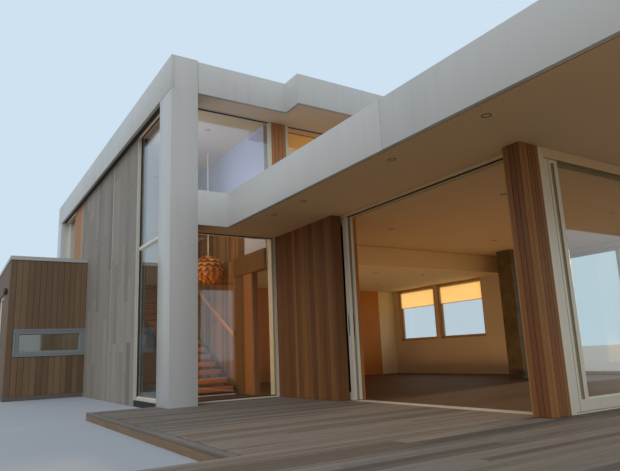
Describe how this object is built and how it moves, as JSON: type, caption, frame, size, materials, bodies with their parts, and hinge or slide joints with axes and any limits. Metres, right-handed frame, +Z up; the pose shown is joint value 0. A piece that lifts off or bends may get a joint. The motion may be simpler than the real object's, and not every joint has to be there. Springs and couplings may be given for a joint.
{
  "type": "beach house",
  "caption": "Two-storey timber and panel beach house with a living wing under a flat eave, sliding glass doors, a side wing and a deck.",
  "frame": {"origin": "middle of the footprint box, at paving level", "axes": "+Z up, +X to the right along the front, +Y from the front to the back"},
  "size_m": [13.05, 19.8, 6.175],
  "materials": {
    "concrete": "trowelled concrete",
    "decking": "weathered boards",
    "deck_edge": "oiled boards",
    "fascia": "satin composite panels",
    "roofing": "matt membrane",
    "plaster": "matt painted board",
    "cedar": "oiled vertical boards",
    "grey_boards": "weathered vertical boards",
    "joinery": "satin powder coat",
    "track": "dark anodised",
    "glazing": "clear",
    "stair_timber": "varnished",
    "hearth": "dark matt panels",
    "blind_cloth": "roller blind cloth",
    "lamp_veneer": "thin bent veneer"
  },
  "bodies": {
    "house": {"ground_floor": "concrete", "deck_boards": "decking", "deck_frame": "deck_edge", "front_column": "fascia", "rear_column": "fascia", "side_fascia": "fascia", "front_fascia": "fascia", "rear_fascia": "fascia", "upper_roof": "roofing", "upper_ceiling": "plaster", "upper_floor": "stair_timber", "front_beam": "plaster", "cedar_panels": "cedar", "side_wall": "grey_boards", "right_wall": "cedar", "back_wall": "cedar", "window_frames": "joinery", "window_glass": "glazing", "lower_roof": "roofing", "lower_soffit": "plaster", "eave_fascia": "fascia", "pocket_wall": "cedar", "pocket_lining": "cedar", "corner_post": "cedar", "door_track": "track", "end_wall_frame": "joinery", "end_wall_glass": "glazing", "side_wing_walls": "cedar", "side_wing_roof": "fascia", "hall_wall": "plaster", "hall_lining": "cedar", "inner_wall": "cedar", "chimney_breast": "hearth", "stair_treads": "stair_timber", "stair_strings": "stair_timber", "handrail": "stair_timber", "blinds": "blind_cloth", "pendant_lamp": "lamp_veneer"},
    "lead_door": {"lead_door_frame": "joinery", "lead_door_glass": "glazing"},
    "trail_door": {"trail_door_frame": "joinery", "trail_door_glass": "glazing"},
    "end_door": {"end_door_frame": "joinery", "end_door_glass": "glazing"}
  },
  "joints": [
    {"name": "lead_door_slide", "type": "slide", "parent": "house", "child": "lead_door", "axis": [0, -1, 0], "range_m": [0, 3.385]},
    {"name": "trail_door_slide", "type": "slide", "parent": "house", "child": "trail_door", "axis": [0, -1, 0], "range_m": [0, 1.69]},
    {"name": "end_door_slide", "type": "slide", "parent": "house", "child": "end_door", "axis": [1, 0, 0], "range_m": [0, 1.7]}
  ]
}
